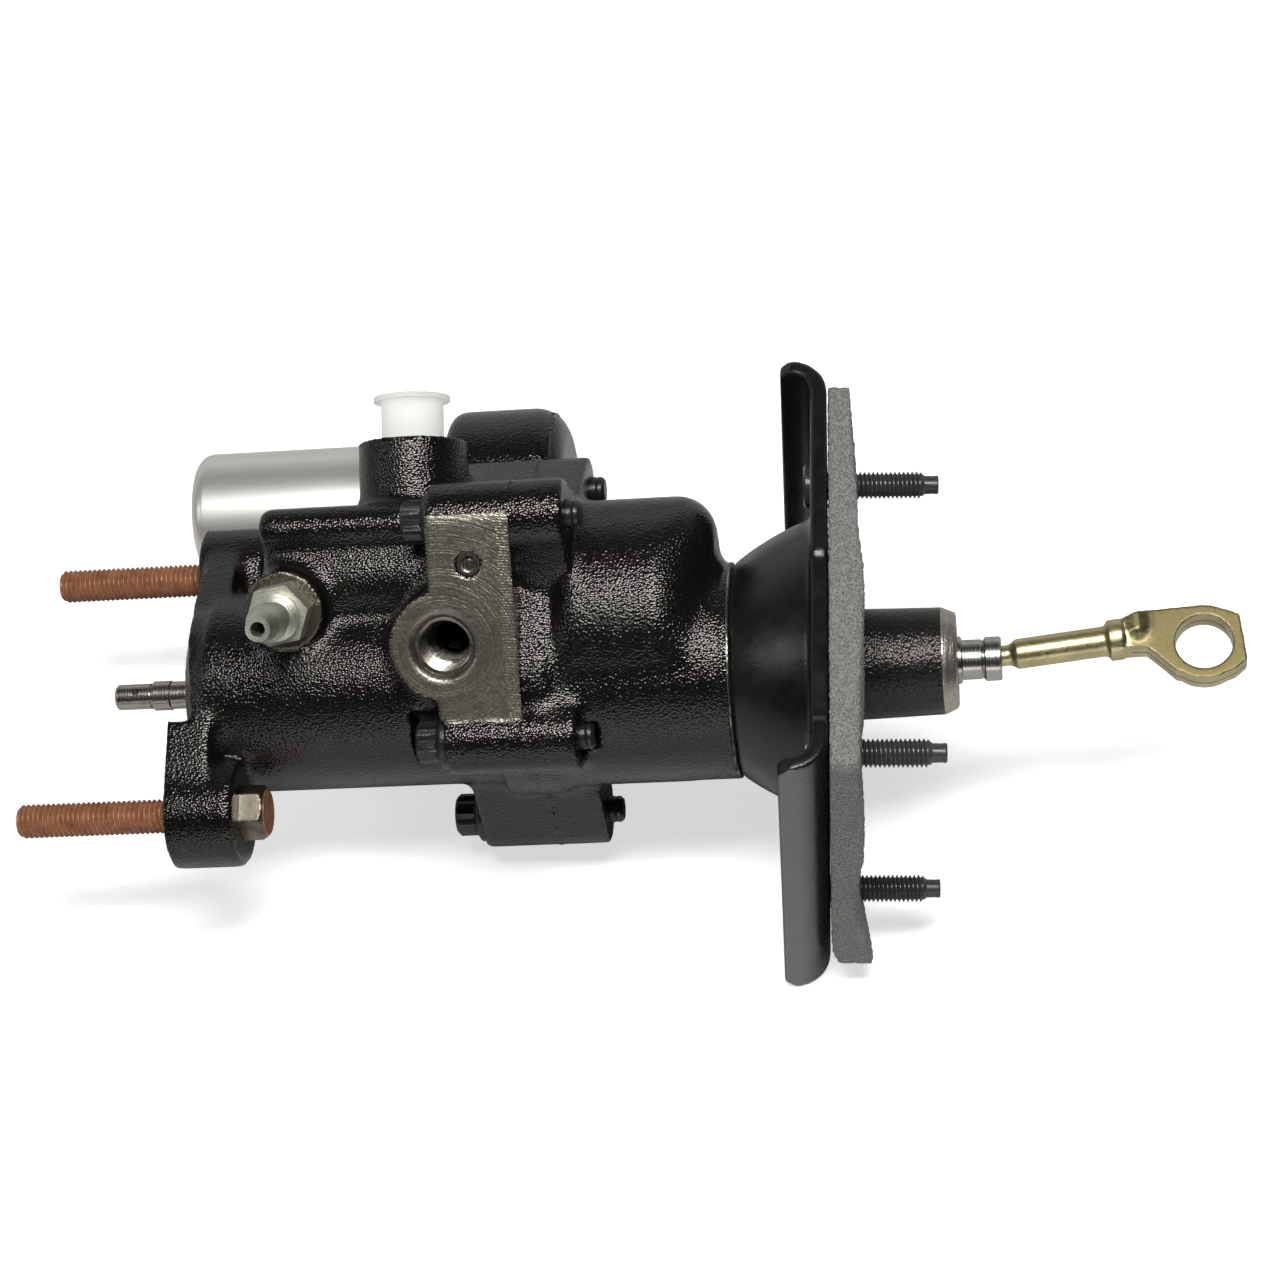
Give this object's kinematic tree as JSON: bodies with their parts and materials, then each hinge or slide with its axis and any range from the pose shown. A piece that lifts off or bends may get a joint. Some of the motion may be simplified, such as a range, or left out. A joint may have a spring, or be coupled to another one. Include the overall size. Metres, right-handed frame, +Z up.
{
  "type": "hydraulic brake booster",
  "caption": "Hydraulic brake booster: two bolted black castings, side accumulator can, dished firewall bracket with foam pad and studs, and a pedal pushrod with a flat eye.",
  "frame": {"origin": "centre of the four bracket studs, on the face that meets the foam pad", "axes": "+X along the studs towards the pedal, +Z up, +Y across, from the ports' side to the accumulator's side; the booster's own axis is canted 3.9 degrees in the X-Z plane"},
  "size_m": [0.3518, 0.1734, 0.1311],
  "materials": {
    "black_bracket": "smooth black",
    "black_cast": "black paint over a rough casting",
    "black_rubber": "matt",
    "black_steel": "black phosphate",
    "black_stud": "black phosphate",
    "bronze": "bare",
    "clear_plastic": "translucent white",
    "coated_bolt": "zinc head, orange thread coating",
    "dark_steel": "bare, turned",
    "gold_zinc": "pale yellow zinc plating",
    "grey_foam": "open-cell foam",
    "plain_aluminium": "bare",
    "plain_steel": "bare, ground",
    "silver_can": "bright, brushed round",
    "white_plastic": "plain",
    "zinc_plate": "pale zinc"
  },
  "bodies": {
    "booster": {"accumulator_base": "plain_steel", "accumulator_base_seal": "black_rubber", "accumulator_can": "silver_can", "ball_plug": "dark_steel", "bracket_nut": "dark_steel", "bracket_studs": "black_stud", "check_spring": "plain_steel", "foam_gasket": "grey_foam", "front_housing": "black_cast", "housing_bolts": "black_steel", "housing_seal": "black_rubber", "master_cylinder_bolts": "coated_bolt", "mounting_bracket": "black_bracket", "piston_return_spring": "plain_steel", "piston_seal": "black_rubber", "rear_housing": "black_cast", "return_fitting": "zinc_plate", "rod_bushing": "bronze", "rod_seal": "black_rubber", "seat_snap_ring": "dark_steel", "spool_plug": "dark_steel", "spool_plug_seal": "black_rubber", "spool_sleeve": "plain_steel", "spool_snap_ring": "dark_steel", "spool_spring": "plain_steel", "spring_seat": "plain_steel"},
    "input": {"input_rod": "plain_steel"},
    "power_piston": {"power_piston": "plain_steel", "output_rod": "dark_steel", "lever_pin": "plain_steel"},
    "lever": {"lever": "plain_steel"},
    "spool": {"spool_valve": "plain_steel"},
    "liner_inner": {"socket_liner_inner": "white_plastic"},
    "liner_outer": {"socket_liner_outer": "white_plastic"},
    "pushrod": {"pushrod": "gold_zinc"},
    "accumulator_piston": {"accumulator_piston": "plain_aluminium", "accumulator_piston_ring": "black_rubber"},
    "check_ball": {"check_ball": "plain_steel"},
    "plug": {"shipping_plug": "clear_plastic"}
  },
  "joints": [
    {"name": "input_stroke", "type": "slide", "parent": "booster", "child": "input", "axis": [-0.9977, 0, -0.068], "range_m": [0, 0.03], "stiffness_N_per_m": 1500, "springref_m": -0.02},
    {"name": "piston_stroke", "type": "slide", "parent": "booster", "child": "power_piston", "axis": [-0.9977, 0, -0.068], "range_m": [0, 0.028], "deforming": ["piston_return_spring"]},
    {"name": "lever_swing", "type": "hinge", "parent": "power_piston", "child": "lever", "pos_m": [-0.04589, 0, 0.00827], "axis": [0.0481, 0.7071, -0.7055], "range_deg": [0, 42]},
    {"name": "spool_travel", "type": "slide", "parent": "booster", "child": "spool", "axis": [-0.9977, 0, -0.068], "range_m": [0, 0.003], "deforming": ["spool_spring"]},
    {"name": "pushrod_pitch", "type": "hinge", "parent": "input", "child": "liner_inner", "pos_m": [0.0439, 0, 0.01439], "axis": [0, 1, 0], "range_deg": [-5, 11.5]},
    {"name": "pushrod_yaw", "type": "hinge", "parent": "liner_inner", "child": "liner_outer", "pos_m": [0.0439, 0, 0.01439], "axis": [-0.068, 0, 0.9977], "range_deg": [-12.5, 3.5]},
    {"name": "pushrod_spin", "type": "hinge", "parent": "liner_outer", "child": "pushrod", "pos_m": [0.0439, 0, 0.01439], "axis": [0.9889, 0.0816, 0.1242], "continuous": true},
    {"name": "accumulator_piston_travel", "type": "slide", "parent": "booster", "child": "accumulator_piston", "axis": [-0.9977, 0, -0.068], "range_m": [0, 0.045], "stiffness_N_per_m": 1500, "springref_m": -0.02},
    {"name": "check_ball_lift", "type": "slide", "parent": "booster", "child": "check_ball", "axis": [0.9977, 0, 0.068], "range_m": [0, 0.0015], "stiffness_N_per_m": 150, "springref_m": -0.002, "deforming": ["check_spring"]},
    {"name": "shipping_plug_pull", "type": "slide", "parent": "booster", "child": "plug", "axis": [-0.034, 0.866, 0.4988], "range_m": [0, 0.045]}
  ],
  "couplings": [
    {"joint": "piston_stroke", "follows": "input_stroke", "ratio": 0.93333},
    {"joint": "lever_swing", "follows": "input_stroke", "rad_per_m": 24.405},
    {"joint": "spool_travel", "follows": "input_stroke", "ratio": 0.1}
  ]
}
